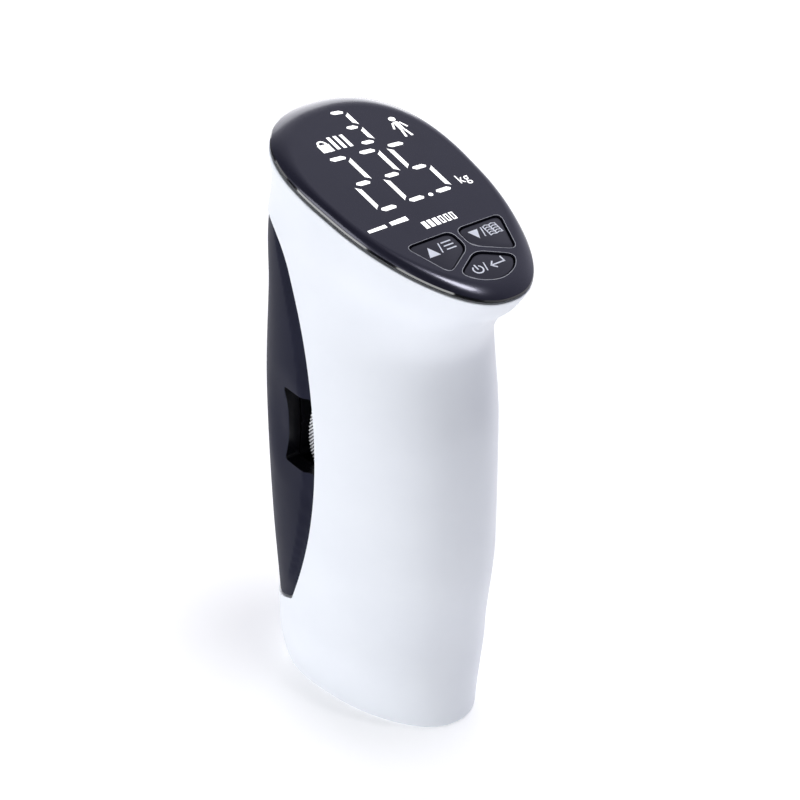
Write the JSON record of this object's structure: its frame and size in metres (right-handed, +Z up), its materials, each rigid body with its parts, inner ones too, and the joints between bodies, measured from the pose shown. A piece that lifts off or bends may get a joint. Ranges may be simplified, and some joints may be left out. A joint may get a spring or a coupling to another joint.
{
  "type": "hand dynamometer",
  "caption": "Upright hand-grip strength meter with a tilted display head, push buttons, a sliding finger grip and a knurled wheel that sets the grip depth.",
  "frame": {"origin": "centre of the bounding box's footprint, on the plane that the base stands on", "axes": "+Z up along the handle; +X towards the palm side, where the low end of the display and the buttons are; -X the finger grip; Y=0 is the symmetry plane"},
  "size_m": [0.0666, 0.043, 0.1302],
  "materials": {
    "housing_white": "satin",
    "bezel_gloss": "gloss",
    "gasket_rubber": "matte",
    "fascia_satin": "satin",
    "grip_black": "satin",
    "dark_plastic": "matte",
    "circuit_board": "satin",
    "display_body": "matte",
    "bright_steel": "knurled and turned",
    "alloy": "machined",
    "gauge_film": "satin",
    "battery_paint": "satin",
    "signal_wire": "matte",
    "power_wire": "matte"
  },
  "bodies": {
    "housing": {"palm_housing": "housing_white", "bezel_ring": "bezel_gloss", "bezel_gasket": "gasket_rubber", "display_fascia": "fascia_satin", "display_chassis": "dark_plastic", "main_pcb": "circuit_board", "led_module": "display_body", "controller_chip": "dark_plastic", "buzzer": "dark_plastic", "switch_up": "bright_steel", "switch_down": "bright_steel", "switch_power": "bright_steel", "wheel_yoke": "alloy", "thrust_washer_front": "bright_steel", "thrust_washer_rear": "bright_steel", "load_cell": "alloy", "cell_mount": "alloy", "cell_bolt_upper": "bright_steel", "cell_bolt_lower": "bright_steel", "strain_gauge_front": "gauge_film", "strain_gauge_rear": "gauge_film", "battery_cell_left": "battery_paint", "battery_cell_right": "battery_paint", "battery_top_contact": "circuit_board", "signal_loom": "signal_wire", "power_loom": "power_wire"},
    "grip": {"finger_grip": "grip_black", "grip_backplate": "dark_plastic", "plate_screw_lower": "bright_steel", "plate_screw_upper": "bright_steel", "lead_screw": "bright_steel", "guide_rod_lower": "bright_steel", "guide_rod_upper": "bright_steel"},
    "wheel": {"adjust_wheel": "bright_steel"},
    "key_up": {"button_up": "fascia_satin"},
    "key_down": {"button_down": "fascia_satin"},
    "key_power": {"button_power": "fascia_satin"},
    "door": {"battery_door": "housing_white", "battery_door_contact": "bright_steel"}
  },
  "joints": [
    {"name": "wheel_spin", "type": "hinge", "parent": "housing", "child": "wheel", "pos_m": [-0.0073, 0, 0.0665], "axis": [1, 0, 0], "range_deg": [0, 1800]},
    {"name": "grip_slide", "type": "slide", "parent": "housing", "child": "grip", "axis": [-1, 0, 0], "range_m": [0, 0.01]},
    {"name": "key_up_press", "type": "slide", "parent": "housing", "child": "key_up", "axis": [-0.2571, 0, -0.9664], "range_m": [0, 0.0008], "stiffness_N_per_m": 600, "springref_m": -0.0015},
    {"name": "key_down_press", "type": "slide", "parent": "housing", "child": "key_down", "axis": [-0.2571, 0, -0.9664], "range_m": [0, 0.0008], "stiffness_N_per_m": 600, "springref_m": -0.0015},
    {"name": "key_power_press", "type": "slide", "parent": "housing", "child": "key_power", "axis": [-0.2571, 0, -0.9664], "range_m": [0, 0.0008], "stiffness_N_per_m": 600, "springref_m": -0.0015},
    {"name": "door_pull", "type": "slide", "parent": "housing", "child": "door", "axis": [0, 0, -1], "range_m": [0, 0.03]}
  ],
  "couplings": [
    {"joint": "grip_slide", "follows": "wheel_spin", "m_per_rad": 0.0003183}
  ]
}
